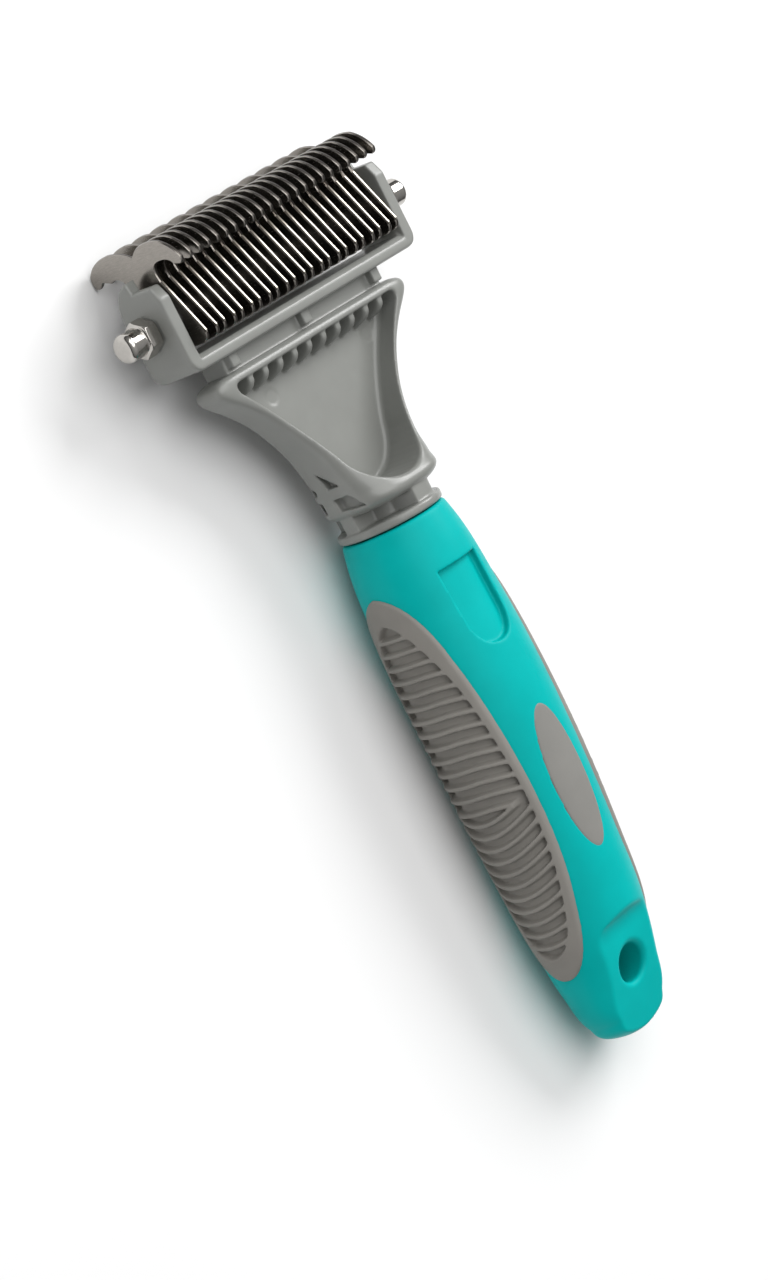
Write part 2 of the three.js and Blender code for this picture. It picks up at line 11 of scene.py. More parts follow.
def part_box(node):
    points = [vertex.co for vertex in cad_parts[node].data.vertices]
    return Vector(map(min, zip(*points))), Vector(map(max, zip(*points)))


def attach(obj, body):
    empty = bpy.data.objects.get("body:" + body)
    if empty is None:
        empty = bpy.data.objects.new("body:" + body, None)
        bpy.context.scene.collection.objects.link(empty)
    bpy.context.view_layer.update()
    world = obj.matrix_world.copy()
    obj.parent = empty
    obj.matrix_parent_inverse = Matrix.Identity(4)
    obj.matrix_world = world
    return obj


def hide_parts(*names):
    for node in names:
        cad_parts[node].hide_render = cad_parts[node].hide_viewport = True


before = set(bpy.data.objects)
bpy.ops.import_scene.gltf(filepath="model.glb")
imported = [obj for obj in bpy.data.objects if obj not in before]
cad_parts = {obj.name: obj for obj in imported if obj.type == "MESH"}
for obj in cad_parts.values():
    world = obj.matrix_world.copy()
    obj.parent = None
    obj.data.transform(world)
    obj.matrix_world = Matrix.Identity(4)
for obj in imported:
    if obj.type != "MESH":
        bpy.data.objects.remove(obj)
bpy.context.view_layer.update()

# Shapes are drawn in the comb's own millimetres, as in the CAD: x along the bolt, y along the
# handle towards the blades from the top of the handle, z out of the comb's front.
MM = 0.001
BOLT_Y = 56.7
bolt_low, bolt_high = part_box("blade_bolt")
ORIGIN = (bolt_low + bolt_high) / 2 / MM - Vector((0.0, BOLT_Y, 0.0))
HANDLE_BODY = "handle_and_head"
BLADE_BODY = "blade_pack"

# ---------------------------------------------------------------- fields and meshes


def rounded_union(a, b, radius):
    """Joins two solids with a fillet of that radius."""
    near_a, near_b = np.maximum(radius - a, 0), np.maximum(radius - b, 0)
    return np.maximum(radius, np.minimum(a, b)) - np.sqrt(near_a**2 + near_b**2)


def rounded_common(a, b, radius):
    """What two solids share, with its outer edges rounded to that radius."""
    near_a, near_b = np.maximum(radius + a, 0), np.maximum(radius + b, 0)
    return np.minimum(-radius, np.maximum(a, b)) + np.sqrt(near_a**2 + near_b**2)


def rounded_cut(a, tool, radius):
    """A solid less a tool, with the cut's edges rounded."""
    return rounded_common(a, -tool, radius)


def slab(value, low, high):
    """Distance from the span between low and high, negative inside."""
    return np.maximum(low - value, value - high)


def ramp(value, low, high):
    """Rises smoothly from 0 at low to 1 at high."""
    t = np.clip((value - low) / (high - low), 0, 1)
    return t * t * (3 - 2 * t)


def trace(start, *moves, steps=10):
    """Points along a path of straight moves (a, b) and quadratic curves (ca, cb, a, b)."""
    points = [start]
    for move in moves:
        if len(move) == 2:
            points.append(move)
            continue
        (pa, pb), (ca, cb, a, b) = points[-1], move
        for i in range(1, steps + 1):
            t = i / steps
            u = 1 - t
            point_a = u * u * pa + 2 * u * t * ca + t * t * a
            point_b = u * u * pb + 2 * u * t * cb + t * t * b
            points.append((point_a, point_b))
    return points


def outline_field(points, a, b):
    """Signed distance from a closed outline, negative inside, over two broadcastable axes."""
    corners = np.array(points, np.float32)
    a, b = np.broadcast_arrays(a, b)
    best = np.full(a.shape, 1e9, np.float32)
    inside = np.zeros(a.shape, bool)
    for (pa, pb), (qa, qb) in zip(corners, np.roll(corners, -1, 0)):
        ea, eb = qa - pa, qb - pb
        length = ea * ea + eb * eb
        if length < 1e-12:
            continue
        t = np.clip(((a - pa) * ea + (b - pb) * eb) / length, 0, 1)
        best = np.minimum(best, (a - pa - t * ea) ** 2 + (b - pb - t * eb) ** 2)
        if pb != qb:
            crosses = (b < pb) != (b < qb)
            inside ^= crosses & (a < (b - pb) / eb * ea + pa)
    return np.where(inside, -1, 1) * np.sqrt(best)


class Block:
    """A regular grid of points in a box, in millimetres."""

    def __init__(self, low, high, cell):
        self.low, self.cell = np.array(low, float), cell
        axes = [np.arange(l, h + cell, cell, dtype=np.float32) for l, h in zip(low, high)]
        self.x = axes[0][:, None, None]
        self.y = axes[1][None, :, None]
        self.z = axes[2][None, None, :]
        self.shape = tuple(len(axis) for axis in axes)


def mesh_object(name, points, faces, loops_per_face=None):
    """A smooth-shaded mesh object from points in comb millimetres."""
    mesh = bpy.data.meshes.new(name)
    co = (np.asarray(points, float) + np.array(ORIGIN)) * MM
    if loops_per_face is None:
        mesh.from_pydata(co.tolist(), [], faces)
    else:
        corners = np.asarray(faces, np.int32)
        mesh.vertices.add(len(co))
        mesh.vertices.foreach_set("co", co.astype(np.float32).ravel())
        mesh.loops.add(corners.size)
        mesh.loops.foreach_set("vertex_index", corners.ravel())
        mesh.polygons.add(len(corners))
        starts = np.arange(0, corners.size, loops_per_face, dtype=np.int32)
        mesh.polygons.foreach_set("loop_start", starts)
        mesh.update(calc_edges=True)
    mesh.shade_smooth()
    mesh.validate()
    obj = bpy.data.objects.new(name, mesh)
    bpy.context.scene.collection.objects.link(obj)
    return obj


def skin(name, field, block):
    """The zero surface of a field as a quad mesh."""
    band = 3 * block.cell
    values = np.clip(np.broadcast_to(field, block.shape), -band, band)
    values[[0, -1], :, :] = band
    values[:, [0, -1], :] = band
    values[:, :, [0, -1]] = band
    grid = openvdb.FloatGrid(band)
    grid.copyFromArray(np.ascontiguousarray(values, dtype=np.float32))
    points, quads = grid.convertToQuads(0.0)
    points = points.astype(float) * block.cell + block.low
    quads = quads[:, ::-1].astype(np.int64)
    return mesh_object(name, points, outward(points, quads), 4)


def absorb(obj, other):
    """One object holding both meshes; the other object goes."""
    work = bmesh.new()
    work.from_mesh(obj.data)
    work.from_mesh(other.data)
    work.to_mesh(obj.data)
    work.free()
    obj.data.shade_smooth()
    spare = other.data
    bpy.data.objects.remove(other)
    bpy.data.meshes.remove(spare)
    return obj


def outward(points, quads):
    """Quads with their winding turned, if needed, so that they face out."""
    a, b, c, d = (points[quads[:, i]] for i in range(4))
    volume = np.einsum("ij,ij->i", a, np.cross(b, c)).sum()
    volume += np.einsum("ij,ij->i", a, np.cross(c, d)).sum()
    return quads if volume > 0 else quads[:, ::-1]


def curve_through(stations, column):
    """One measure of the stations as a smooth function of y."""
    rows = sorted((station[0], station[column]) for station in stations)
    ys, vs = np.array([r[0] for r in rows]), np.array([r[1] for r in rows])
    slopes = np.gradient(vs, ys)

    def at(y):
        y = np.clip(y, ys[0], ys[-1])
        i = np.clip(np.searchsorted(ys, y) - 1, 0, len(ys) - 2)
        h = ys[i + 1] - ys[i]
        t = (y - ys[i]) / h
        h00, h10 = 2 * t**3 - 3 * t**2 + 1, t**3 - 2 * t**2 + t
        h01, h11 = -2 * t**3 + 3 * t**2, t**3 - t**2
        lower = h00 * vs[i] + h10 * h * slopes[i]
        upper = h01 * vs[i + 1] + h11 * h * slopes[i + 1]
        return (lower + upper).astype(np.float32)

    return at


def section_field(block, half_width, front, back, square):
    """Distance from a skin whose sections are rounded rectangles or ellipses."""
    middle, half_depth = (front + back) / 2, (front - back) / 2
    u, v = np.abs(block.x) / half_width, np.abs(block.z - middle) / half_depth
    u, v = np.maximum(u, 1e-4), np.maximum(v, 1e-4)
    rho = (u**square + v**square) ** (1 / square)
    slope = np.sqrt((u ** (square - 1) / half_width) ** 2 + (v ** (square - 1) / half_depth) ** 2)
    return (rho - 1) / (slope * rho ** (1 - square))


# ---------------------------------------------------------------- materials


def new_material(name):
    material = bpy.data.materials.new(name)
    material.use_nodes = True
    tree = material.node_tree
    shader = tree.nodes["Principled BSDF"]
    place = tree.nodes.new("ShaderNodeTexCoord")
    return material, tree, shader, place.outputs["Object"]


def stretched(tree, source, scale):
    mapping = tree.nodes.new("ShaderNodeMapping")
    mapping.inputs["Scale"].default_value = scale
    tree.links.new(source, mapping.inputs["Vector"])
    return mapping.outputs["Vector"]


def noise(tree, source, scale, detail=3.0, roughness=0.55):
    node = tree.nodes.new("ShaderNodeTexNoise")
    node.inputs["Scale"].default_value = scale
    node.inputs["Detail"].default_value = detail
    node.inputs["Roughness"].default_value = roughness
    tree.links.new(source, node.inputs["Vector"])
    return node.outputs["Fac"]


def colour_ramp(tree, factor, stops):
    node = tree.nodes.new("ShaderNodeValToRGB")
    elements = node.color_ramp.elements
    while len(elements) < len(stops):
        elements.new(0.5)
    for element, (position, colour) in zip(elements, stops):
        element.position = position
        element.color = (*colour, 1)
    tree.links.new(factor, node.inputs["Fac"])
    return node.outputs["Color"]


def value_range(tree, factor, low, high):
    node = tree.nodes.new("ShaderNodeMapRange")
    node.inputs["To Min"].default_value = low
    node.inputs["To Max"].default_value = high
    tree.links.new(factor, node.inputs["Value"])
    return node.outputs["Result"]


def bump(tree, shader, height, strength, distance, before=None):
    node = tree.nodes.new("ShaderNodeBump")
    node.inputs["Strength"].default_value = strength
    node.inputs["Distance"].default_value = distance
    tree.links.new(height, node.inputs["Height"])
    if before is not None:
        tree.links.new(before, node.inputs["Normal"])
    tree.links.new(node.outputs["Normal"], shader.inputs["Normal"])
    return node.outputs["Normal"]


def scaled(colour, factor):
    return tuple(channel * factor for channel in colour)


def plastic(name, colour, roughness, grain, gloss=0.5, mottle=0.05):
    """Moulded plastic: faint clouding in the colour, and a fine spark-eroded grain."""
    material, tree, shader, place = new_material(name)
    cloud = noise(tree, place, 90.0, 4.0)
    stops = [(0.3, scaled(colour, 1 - mottle)), (0.7, scaled(colour, 1 + mottle))]
    tree.links.new(colour_ramp(tree, cloud, stops), shader.inputs["Base Color"])
    fine = noise(tree, place, 2600.0, 2.0)
    rough = value_range(tree, noise(tree, place, 420.0, 3.0), roughness - 0.05, roughness + 0.07)
    tree.links.new(rough, shader.inputs["Roughness"])
    shader.inputs["Specular IOR Level"].default_value = gloss
    first = bump(tree, shader, fine, grain, 0.00006)
    bump(tree, shader, noise(tree, place, 160.0, 2.0), 0.12, 0.0002, first)
    return material


def steel(name, colour, roughness, stretch, streak, variation=0.12):
    """Metal with a fine directional grain and a little uneven tone."""
    material, tree, shader, place = new_material(name)
    shader.inputs["Metallic"].default_value = 1.0
    lines = noise(tree, stretched(tree, place, stretch), 1.0, 4.0, 0.65)
    stops = [(0.3, scaled(colour, 1 - variation)), (0.7, scaled(colour, 1 + variation))]
    tree.links.new(colour_ramp(tree, lines, stops), shader.inputs["Base Color"])
    rough = value_range(tree, lines, roughness - 0.06, roughness + 0.08)
    tree.links.new(rough, shader.inputs["Roughness"])
    bump(tree, shader, lines, streak, 0.00003)
    return material


TEAL = plastic("teal_plastic", (0.0, 0.44, 0.425), 0.42, 0.2, 0.08)
HEAD_GREY = plastic("grey_plastic", (0.235, 0.24, 0.225), 0.3, 0.18, 0.6)
RUBBER = plastic("grey_rubber", (0.25, 0.238, 0.217), 0.6, 0.4, 0.35, 0.06)
LABEL_GREY = plastic("label_grey", (0.235, 0.23, 0.215), 0.5, 0.3, 0.4)
BLADE_STEEL = steel("blade_steel", (0.3, 0.28, 0.255), 0.24, (300.0, 5200.0, 700.0), 0.2)
EDGE_STEEL = steel("ground_edge", (0.36, 0.34, 0.3), 0.3, (900.0, 500.0, 4200.0), 0.3, 0.12)
# Near-black steel for the blades' side walls, most bevels and the bores: painted shade, copying the dark
# reflections on the hook tops, not a colour of the steel itself.
SHADED_WALL_STEEL = steel("painted_shade_wall", (0.07, 0.063, 0.056), 0.3, (5200.0, 400.0, 400.0), 0.25, 0.15)
CHROME = steel("nut_chrome", (0.5, 0.48, 0.45), 0.1, (1800.0, 1800.0, 1800.0), 0.06, 0.05)
ZINC = steel("zinc_steel", (0.33, 0.33, 0.34), 0.35, (4200.0, 400.0, 400.0), 0.2)


def piece(obj, body, slot, material, *nodes):
    """Gives a mesh its material and body, and hides the CAD nodes that it stands for. The slot is not
    used.
    """
    obj.data.materials.append(material)
    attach(obj, body)
    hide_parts(*nodes)
    return obj


# ---------------------------------------------------------------- head and cradle

BORE_RADIUS = 2.2
CRADLE_HALF_WIDTH = 35.5
EAR_INSIDE = 32.5
CRADLE_FRONT, CRADLE_BACK = 7.0, -5.4
BAR_BOTTOM, BAR_TOP, BAR_CHAMFER = 46.0, 49.3, 1.0
CRADLE_CORNER = 3.0
HEAD_BOTTOM, HEAD_TOP = 5.2, 42.5
RECESS_FLOOR, RECESS_TOP = -1.0, 40.5
WEB_HALF_WIDTH, WEB_BACK, WEB_FRONT = 24.5, -3.6, 2.8
WEB_RIBS, WEB_RIB_HALF_WIDTH = (-22.6, 0.0, 22.6), 1.2
GUSSET_PITCH, GUSSET_HALF_WIDTH, GUSSET_ROW_REACH = 4.6, 0.8, 22.4
NECK_BOTTOM, NECK_TOP, NECK_RADIUS = 1.2, 6.6, 5.4
COLLAR_RADIUS, COLLAR_BOTTOM, COLLAR_TOP = 11.4, 0.3, 2.1
# y, half width, front, back, squareness
HEAD_STATIONS = [
    (5.2, 10.4, 10.6, -8.6, 2.6),
    (6.6, 11.6, 11.6, -8.9, 2.9),
    (9.5, 12.0, 10.7, -8.6, 3.1),
    (14.5, 12.6, 8.5, -7.4, 3.7),
    (20.0, 14.0, 6.8, -6.2, 5.0),
    (26.0, 17.2, 5.5, -5.2, 6.0),
    (32.5, 22.0, 5.0, -4.7, 7.0),
    (36.0, 25.8, 5.0, -4.6, 7.0),
    (38.0, 28.3, 5.0, -4.5, 7.0),
    (39.4, 29.7, 5.0, -4.5, 7.0),
    (40.6, 30.0, 5.0, -4.4, 7.0),
    (41.6, 29.4, 4.9, -4.3, 7.0),
    (42.2, 28.4, 4.7, -4.1, 7.0),
    (42.5, 27.4, 4.4, -3.9, 7.0),
]
EAR = trace(
    (46.0, -3.8), (46.0, 6.4), (46.6, 7.0), (62.2, 7.0), (65.0, 5.6), (65.2, 0.3), (67.6, -0.2),
    (67.0, -3.6, 63.6, -4.8), (60.5, -5.6, 56.0, -5.4), (48.2, -5.4), (46.0, -5.4, 46.0, -3.8),
)
RECESS = trace(
    (-23.6, RECESS_TOP), (23.6, RECESS_TOP), (25.9, RECESS_TOP, 24.9, 38.4), (15.4, 28.0, 11.2, 18.0),
    (8.4, 8.6, 0.0, 8.6), (-8.4, 8.6, -11.2, 18.0), (-15.4, 28.0, -24.9, 38.4),
    (-25.9, RECESS_TOP, -23.6, RECESS_TOP),
)
# Middles of the faint round marks that the mould's pins leave on the recess floor.
PIN_MARKS = [(18.4, 34.8), (-13.0, 34.0)]
PIN_MARK_DEPTH = 0.14
GUSSET = trace((41.2, -1.5), (41.2, 4.4), (39.8, 4.4), (37.4, 4.1, 36.8, -1.5))
NECK_POCKETS = [
    [(10.0, 4.3), (6.9, 7.0), (7.4, 0.5), (10.1, 0.0)],
    [(16.4, -0.6), (12.5, 3.4), (12.5, 0.3)],
    [(10.3, -6.2), (9.9, -3.8), (7.6, -3.8), (7.4, -7.4)],
    [(14.2, -5.6), (12.8, -3.4), (11.8, -4.0), (12.0, -6.4)],
]
POCKET_DEPTH, POCKET_INNER_X = 1.7, 5.0
# Angles round the handle's axis, from +X towards the front, and half widths of the neck's bridges.
NECK_BRIDGES = [(80.0, 3.2), (184.0, 2.0), (-4.0, 2.0), (-100.0, 3.2)]
BRIDGE_REACH = 10.7


def tang_mesh():
    """The flat tang that runs down inside the handle."""
    grid = Block((-6.5, -43.0, -5.5), (6.5, 2.0, 5.5), 0.5)
    sides = rounded_common(np.abs(grid.x) - 5.5, np.abs(grid.z) - 4.5, 0.6)
    return skin("tang", rounded_common(sides, slab(grid.y, -42.0, 1.2), 0.8), grid)


def head_mesh():
    grid = Block((-36.3, -0.6, -10.2), (36.3, 68.6, 12.6), 0.3)
    x, y, z = grid.x, grid.y, grid.z
    span = np.abs(x)
    ear = outline_field(EAR, y, z)
    corner = rounded_common(span - CRADLE_HALF_WIDTH, BAR_BOTTOM - y, CRADLE_CORNER)
    cradle = rounded_common(ear, np.broadcast_to(corner, grid.shape), 0.6)
    gap = rounded_common(span - EAR_INSIDE, BAR_TOP - y, 1.2)
    cradle = rounded_cut(cradle, gap, 0.3)
    bevel = (BAR_TOP + CRADLE_FRONT - BAR_CHAMFER - y - z) / math.sqrt(2)
    cradle = rounded_cut(cradle, np.maximum(bevel, span - EAR_INSIDE), 0.2)
    web = np.maximum(slab(y, HEAD_TOP - 1, BAR_BOTTOM + 1), slab(z, WEB_BACK, WEB_FRONT))
    web = np.maximum(web, span - WEB_HALF_WIDTH)
    for middle in WEB_RIBS:
        rib = np.maximum(np.abs(x - middle) - WEB_RIB_HALF_WIDTH, slab(z, 0.0, 4.7))
        web = np.minimum(web, np.maximum(rib, slab(y, 43.3, BAR_BOTTOM + 0.6)))
    stations = [curve_through(HEAD_STATIONS, i)(grid.y) for i in (1, 2, 3, 4)]
    outer = section_field(grid, *stations)
    body = rounded_common(outer, slab(y, HEAD_BOTTOM, HEAD_TOP), 0.9)
    floor = RECESS_FLOOR
    for pin_x, pin_y in PIN_MARKS:
        pin = np.hypot(x - pin_x, y - pin_y)
        floor = floor - PIN_MARK_DEPTH * (1 - ramp(pin, 1.5, 1.9))
    dish = outline_field(RECESS, x[:, :, 0], y[:, :, 0])[:, :, None]
    dish = rounded_common(dish, floor - z, 1.2)
    body = rounded_cut(body, dish, 0.6)
    gusset = outline_field(GUSSET, y[0], z[0])[None]
    from_gusset = span % GUSSET_PITCH - GUSSET_PITCH / 2
    row = np.maximum(np.abs(from_gusset) - GUSSET_HALF_WIDTH, span - GUSSET_ROW_REACH)
    body = rounded_union(body, rounded_common(gusset, row, 0.4), 0.35)
    for corners in NECK_POCKETS:
        pocket = outline_field(corners, y[0], z[0])[None]
        pocket = np.broadcast_to(pocket, grid.shape)
        pocket = rounded_common(pocket, -(outer + POCKET_DEPTH), 0.3)
        body = rounded_cut(body, np.maximum(pocket, POCKET_INNER_X - span), 0.3)
    solid = rounded_union(rounded_union(web, cradle, 0.25), body, 0.15)
    round_y = np.sqrt(x**2 + z**2)
    neck_span = slab(y, NECK_BOTTOM, NECK_TOP)
    neck = np.maximum(round_y - NECK_RADIUS, neck_span)
    for angle, half_width in NECK_BRIDGES:
        a = math.radians(angle)
        across = np.abs(z * math.cos(a) - x * math.sin(a)) - half_width
        ahead = -(x * math.cos(a) + z * math.sin(a))
        bridge = np.maximum(np.maximum(across, ahead), round_y - BRIDGE_REACH)
        neck = np.minimum(neck, rounded_common(bridge, neck_span, 0.2))
    collar = rounded_common(round_y - COLLAR_RADIUS, slab(y, COLLAR_BOTTOM, COLLAR_TOP), 0.45)
    solid = rounded_union(rounded_union(solid, neck, 0.25), collar, 0.25)
    bore = np.sqrt((y - BOLT_Y) ** 2 + z**2) - BORE_RADIUS
    solid = rounded_cut(solid, bore, 0.25)
    return absorb(skin("head_and_cradle", solid, grid), tang_mesh())


piece(head_mesh(), HANDLE_BODY, "grey_plastic", HEAD_GREY, "head_frame")

# ---------------------------------------------------------------- handle, grips and label

# y, half width, front, back
HANDLE_STATIONS = [
    (0.0, 11.4, 11.2, -11.2),
    (-5.0, 12.7, 12.0, -12.0),
    (-20.0, 14.4, 12.9, -13.0),
    (-45.0, 15.0, 13.7, -13.6),
    (-61.0, 14.9, 13.1, -13.6),
    (-77.0, 14.2, 11.7, -13.5),
    (-91.0, 13.4, 10.0, -13.1),
    (-103.0, 11.8, 6.9, -12.2),
    (-111.0, 9.6, 4.5, -10.8),
    (-114.6, 6.8, 2.2, -8.8),
    (-116.0, 3.2, -0.5, -6.2),
]
HANDLE_TOP, HANDLE_END = 0.0, -116.0
LABEL_CENTRE, LABEL_HALF_LENGTH, LABEL_HALF_WIDTH = -60.3, 16.2, 5.0
HOLE_Y, HOLE_RADIUS = -101.8, 3.9
GRIP_PROUD, GRIP_DEPTH, GRIP_INNER_X = 0.5, 2.4, 7.4
GRIP_EDGE = trace(
    (-11.2, -1.0), (-12.7, 6.8, -28.0, 8.9), (-39.0, 10.8, -53.0, 10.8), (-72.0, 10.8, -88.5, 6.5),
    (-98.4, 3.4, -98.4, -1.2), (-98.4, -6.2, -88.5, -8.6), (-72.0, -12.0, -53.0, -12.0),
    (-39.0, -12.0, -28.0, -10.4), (-12.7, -8.6, -11.2, -1.0),
)
RIB_EDGE = trace(
    (-17.0, -1.0), (-18.4, 4.4, -32.9, 7.9), (-42.0, 9.6, -54.8, 9.7), (-72.0, 9.8, -86.9, 5.0),
    (-93.0, 2.6, -93.0, -1.6), (-93.0, -4.6, -86.9, -6.4), (-72.0, -10.6, -54.8, -10.6),
    (-42.0, -10.6, -32.9, -9.2), (-18.4, -6.4, -17.0, -1.0),
)
THUMB = trace(
    (-5.9, -11.6), (5.9, -11.6), (5.5, -24.0), (4.7, -29.6, 0.0, -29.6), (-4.7, -29.6, -5.5, -24.0),
)
THUMB_DEPTH = 1.7
SCOOP = trace(
    (-88.8, 12.2), (-91.6, 8.2), (-92.8, 7.0, -95.6, 6.5), (-98.5, 5.9, -101.5, 5.0), (-125.0, -3.2),
    (-125.0, 25.0), (-88.6, 25.0),
)
# Ribs of a grip: straight ones from the top, then bowl-shaped ones, with half widths of a crest's
# flat top and of its foot.
RIB_FIRST_Y, RIB_PITCH, RIB_COUNT = -20.2, 2.983, 13
BOWL_FIRST_Y, BOWL_PITCH, BOWL_COUNT = -61.8, 2.87, 11
LEAF_Y, LEAF_TIP_Z = -59.1, 7.9
RIB_FLAT, RIB_FOOT = 0.3, 0.8
RIB_GROOVE_DEPTH = 1.5


def label_edge(grid):
    """Rough distance from the label's oval edge."""
    along = (grid.y - LABEL_CENTRE) / LABEL_HALF_LENGTH
    return (np.sqrt((grid.x / LABEL_HALF_WIDTH) ** 2 + along**2) - 1) * LABEL_HALF_WIDTH


def handle_skin(grid):
    stations = [curve_through(HANDLE_STATIONS, i)(grid.y) for i in (1, 2, 3)]
    return section_field(grid, *stations, np.float32(2.0))


def handle_mesh():
    grid = Block((-15.9, -117.0, -14.6), (15.9, 0.9, 14.6), 0.33)
    x, y, z = grid.x, grid.y, grid.z
    outer = handle_skin(grid)
    solid = rounded_common(outer, slab(y, HANDLE_END, HANDLE_TOP), 0.8)
    grip = outline_field(GRIP_EDGE, y[0], z[0])[None]
    for side in (-1, 1):
        pocket = np.maximum(grip + 0.35, -(outer + GRIP_DEPTH + 0.2))
        pocket = np.maximum(pocket, GRIP_INNER_X - 0.2 - side * x)
        solid = rounded_cut(solid, pocket, 0.25)
    pocket = np.maximum(np.maximum(label_edge(grid) + 0.3, -(outer + 1.6)), -z)
    solid = rounded_cut(solid, pocket, 0.2)
    thumb = outline_field(THUMB, x[:, :, 0], y[:, :, 0])[:, :, None]
    thumb = rounded_common(thumb, np.maximum(-(outer + THUMB_DEPTH), -z), 0.5)
    solid = rounded_cut(solid, thumb, 0.45)
    scoop = outline_field(SCOOP, y[0], z[0])[None]
    solid = rounded_cut(solid, np.broadcast_to(scoop, grid.shape), 0.35)
    hole = np.sqrt(x**2 + (y - HOLE_Y) ** 2) - HOLE_RADIUS
    solid = rounded_cut(solid, np.broadcast_to(hole, grid.shape), 1.3)
    socket = np.maximum(np.maximum(np.abs(x) - 5.8, np.abs(z) - 4.8), -43.0 - y)
    solid = np.maximum(solid, -socket)
    return skin("handle", solid, grid)


def rib_height(y, z):
    """Ribs of a side grip, 1 on a crest and 0 in a groove, over y and z."""
    height = np.zeros(np.broadcast(y, z).shape, np.float32)

    def crest(distance):
        return 1 - ramp(np.abs(distance), RIB_FLAT, RIB_FOOT)

    bend = 0.022 * np.maximum(z - 2.0, 0) ** 2
    for i in range(RIB_COUNT):
        height = np.maximum(height, crest(y - RIB_FIRST_Y + RIB_PITCH * i + bend))
    behind_tip = ramp(LEAF_TIP_Z - z, 0.0, 0.6)
    height = np.maximum(height, crest(y - LEAF_Y + bend) * behind_tip)
    # A bowl is a parabola about z = -0.5; dividing by its slope keeps the rib's width even.
    rise = 0.03 * (z + 0.5) ** 2
    slope = np.sqrt(1 + (0.06 * (z + 0.5)) ** 2)
    for i in range(BOWL_COUNT):
        bowl = crest((y - BOWL_FIRST_Y + BOWL_PITCH * i - rise) / slope)
        height = np.maximum(height, bowl * behind_tip if i == 0 else bowl)
    return height


def grip_mesh(side):
    low, high = sorted((side * 6.9, side * 16.1))
    grid = Block((low, -99.4, -13.0), (high, -10.4, 11.8), 0.25)
    x, y, z = grid.x, grid.y, grid.z
    outer = handle_skin(grid)
    edge = outline_field(GRIP_EDGE, y[0], z[0])[None]
    field = ramp(-outline_field(RIB_EDGE, y[0], z[0]), -0.3, 0.7)
    height = GRIP_PROUD - RIB_GROOVE_DEPTH * field * (1 - rib_height(y[0], z[0]))
    solid = rounded_common(outer - height[None], edge, 0.45)
    solid = np.maximum(solid, -(outer + GRIP_DEPTH))
    solid = np.maximum(solid, GRIP_INNER_X - side * x)
    name = "left" if side < 0 else "right"
    return skin(f"side_grip_{name}", solid, grid)


def label_mesh():
    grid = Block((-6.0, -77.6, 8.0), (6.0, -43.0, 14.6), 0.25)
    outer = handle_skin(grid)
    edge = np.broadcast_to(label_edge(grid), grid.shape)
    solid = rounded_common(outer - 0.06, edge, 0.3)
    solid = np.maximum(solid, -(outer + 1.4))
    return skin("label_plate", solid, grid)


piece(handle_mesh(), HANDLE_BODY, "teal_plastic", TEAL, "handle_shell")
for side, name in ((-1, "left"), (1, "right")):
    piece(grip_mesh(side), HANDLE_BODY, "grey_rubber", RUBBER, f"grip_{name}")
piece(label_mesh(), HANDLE_BODY, "label_plastic", LABEL_GREY, "label_inlay")

# ---------------------------------------------------------------- blades

BLADE_COUNT, BLADE_PITCH, BLADE_THICKNESS = 23, 2.75, 0.9
EDGE_BEVEL = 0.26
BORE_SIDES = 24


def blade_outline(coarse):
    """Outline of a coarse or fine blade about the bolt, in y and z."""
    corner = 9.4 if coarse else 9.8
    front = trace(
        (-5.9, 0.0), (-5.9, corner - 1.8), (-5.7, corner - 0.2, -3.7, corner), (8.2, 4.4),
        (11.9, 3.2, 11.9, 6.6), (11.9, 9.2, 10.4, 10.0), (9.9, 11.6), (10.0, 12.6, 11.2, 12.6),
        (14.2, 11.2, 15.8, 8.2), (17.0, 4.0, 15.6, 1.4), (14.6, 0.0), steps=8,
    )
    if coarse:
        back = trace(
            (14.6, 0.0), (16.6, -2.6, 17.0, -6.4), (17.0, -11.2, 14.4, -13.2), (12.6, -13.8, 11.7, -13.0),
            (11.0, -12.2, 12.4, -10.6), (11.6, -8.4), (12.4, -6.0, 10.4, -4.9), (8.2, -4.4),
            (-3.7, -9.4), (-5.7, -9.2, -5.9, -7.6), steps=8,
        )
    else:
        back = trace(
            (14.6, 0.0), (14.0, -2.6, 11.4, -3.6), (8.2, -4.4),
            (-3.7, -9.4), (-5.7, -9.2, -5.9, -7.6), steps=8,
        )
    return front + back[1:]


def offset_inward(points, amounts):
    """A closed outline with each point moved in by its own amount."""
    ring = np.array(points, float)
    before, after = ring - np.roll(ring, 1, 0), np.roll(ring, -1, 0) - ring
    before /= np.linalg.norm(before, axis=1)[:, None]
    after /= np.linalg.norm(after, axis=1)[:, None]
    tangent = before + after
    tangent /= np.linalg.norm(tangent, axis=1)[:, None]
    inward = np.stack([-tangent[:, 1], tangent[:, 0]], 1)
    area = np.sum(ring[:, 0] * np.roll(ring[:, 1], -1) - np.roll(ring[:, 0], -1) * ring[:, 1])
    return ring + inward * np.sign(area) * np.asarray(amounts)[:, None]


